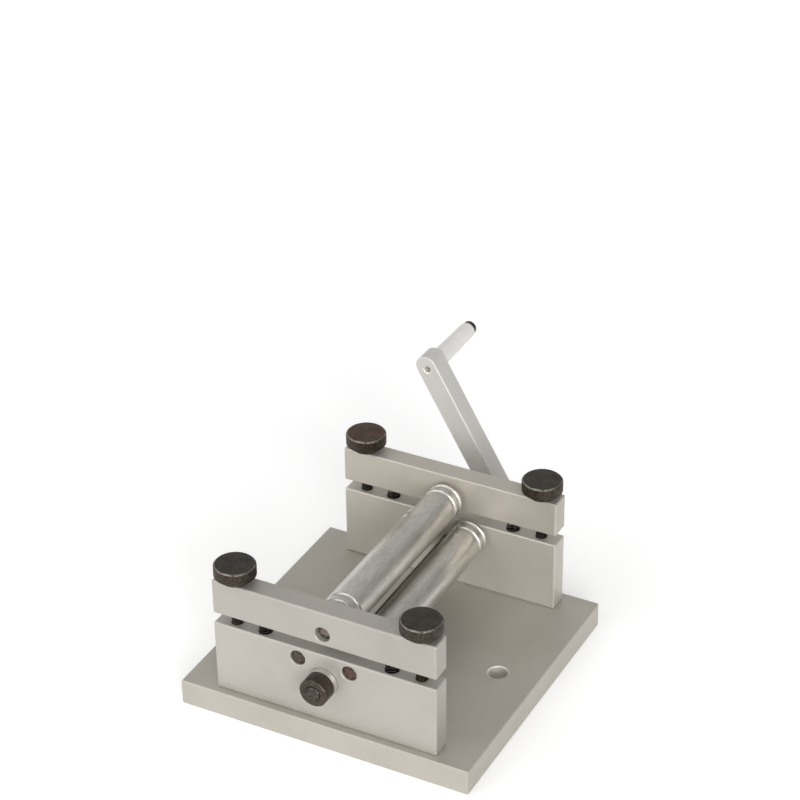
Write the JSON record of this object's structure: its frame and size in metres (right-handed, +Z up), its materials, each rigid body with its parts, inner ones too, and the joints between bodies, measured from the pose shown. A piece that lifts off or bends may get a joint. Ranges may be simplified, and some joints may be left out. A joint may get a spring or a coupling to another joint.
{
  "type": "plate rolling machine",
  "caption": "Hand-cranked bench roll bender: geared lower rollers and a spring-lifted upper roller in aluminium blocks on a base plate, set by knurled thumb screws.",
  "frame": {"origin": "middle of the base plate's underside", "axes": "+X to the right along the front block, +Y from the front block to the crank, +Z up"},
  "size_m": [0.17, 0.2662, 0.1192],
  "materials": {
    "plate_aluminium": "satin bead-blasted",
    "bright_steel": "fine turned",
    "gear_steel": "machined",
    "black_steel": "black oxide",
    "spring_steel": "drawn wire, oiled",
    "bolt_black": "black oxide",
    "grip_plastic": "turned, matt"
  },
  "bodies": {
    "frame": {"base_plate": "plate_aluminium", "front_lower_block": "plate_aluminium", "rear_lower_block": "plate_aluminium", "front_block_screws": "black_steel", "rear_block_screws": "black_steel", "front_left_spring": "spring_steel", "front_right_spring": "spring_steel", "rear_left_spring": "spring_steel", "rear_right_spring": "spring_steel"},
    "front_bar": {"front_upper_bar": "plate_aluminium"},
    "rear_bar": {"rear_upper_bar": "plate_aluminium"},
    "front_left_screw": {"front_left_thumb_screw": "black_steel"},
    "front_right_screw": {"front_right_thumb_screw": "black_steel"},
    "rear_left_screw": {"rear_left_thumb_screw": "black_steel"},
    "rear_right_screw": {"rear_right_thumb_screw": "black_steel"},
    "top_roll": {"upper_roller": "bright_steel", "upper_axle": "black_steel"},
    "left_roll": {"left_roller": "bright_steel", "left_axle": "black_steel", "left_gear": "gear_steel", "left_gear_grub": "black_steel"},
    "right_roll": {"right_roller": "bright_steel", "right_axle": "black_steel", "right_gear": "gear_steel", "right_gear_grub": "black_steel"},
    "crank": {"drive_shaft": "black_steel", "drive_pinion": "gear_steel", "pinion_grub": "black_steel", "front_washers": "bright_steel", "rear_washer": "bright_steel", "shaft_collar": "black_steel", "collar_grub": "black_steel", "crank_arm": "plate_aluminium", "arm_grub": "black_steel", "grip_bolt": "bolt_black"},
    "grip": {"crank_grip": "grip_plastic"}
  },
  "joints": [
    {"name": "front_bar_slide", "type": "slide", "parent": "frame", "child": "front_bar", "axis": [0, 0, 1], "range_m": [-0.0055, 0.006], "deforming": ["front_left_spring", "front_right_spring"]},
    {"name": "front_left_screw_turn", "type": "hinge", "parent": "front_bar", "child": "front_left_screw", "pos_m": [-0.054, -0.0715, 0.0835], "axis": [0, 0, 1], "range_deg": [-1980, 2160]},
    {"name": "front_right_screw_turn", "type": "hinge", "parent": "front_bar", "child": "front_right_screw", "pos_m": [0.054, -0.0715, 0.0835], "axis": [0, 0, 1], "range_deg": [-1980, 2160]},
    {"name": "rear_bar_slide", "type": "slide", "parent": "frame", "child": "rear_bar", "axis": [0, 0, 1], "range_m": [-0.0055, 0.006], "deforming": ["rear_left_spring", "rear_right_spring"]},
    {"name": "rear_left_screw_turn", "type": "hinge", "parent": "rear_bar", "child": "rear_left_screw", "pos_m": [-0.054, 0.0715, 0.0835], "axis": [0, 0, 1], "range_deg": [-1980, 2160]},
    {"name": "rear_right_screw_turn", "type": "hinge", "parent": "rear_bar", "child": "rear_right_screw", "pos_m": [0.054, 0.0715, 0.0835], "axis": [0, 0, 1], "range_deg": [-1980, 2160]},
    {"name": "top_roll_spin", "type": "hinge", "parent": "front_bar", "child": "top_roll", "pos_m": [0, 0, 0.0698], "axis": [0, 1, 0], "continuous": true},
    {"name": "left_roll_spin", "type": "hinge", "parent": "frame", "child": "left_roll", "pos_m": [-0.015, 0, 0.0502], "axis": [0, 1, 0], "continuous": true},
    {"name": "right_roll_spin", "type": "hinge", "parent": "frame", "child": "right_roll", "pos_m": [0.015, 0, 0.0502], "axis": [0, 1, 0], "continuous": true},
    {"name": "crank_turn", "type": "hinge", "parent": "frame", "child": "crank", "pos_m": [0, 0, 0.04025], "axis": [0, 1, 0], "continuous": true},
    {"name": "grip_spin", "type": "hinge", "parent": "crank", "child": "grip", "pos_m": [-0.041, 0.15, 0.11126], "axis": [0, 1, 0], "continuous": true}
  ],
  "couplings": [
    {"joint": "rear_bar_slide", "follows": "front_bar_slide", "ratio": 1},
    {"joint": "front_left_screw_turn", "follows": "front_bar_slide", "rad_per_m": 6283.2},
    {"joint": "front_right_screw_turn", "follows": "front_bar_slide", "rad_per_m": 6283.2},
    {"joint": "rear_left_screw_turn", "follows": "front_bar_slide", "rad_per_m": 6283.2},
    {"joint": "rear_right_screw_turn", "follows": "front_bar_slide", "rad_per_m": 6283.2},
    {"joint": "left_roll_spin", "follows": "crank_turn", "ratio": -0.8},
    {"joint": "right_roll_spin", "follows": "crank_turn", "ratio": -0.8}
  ]
}
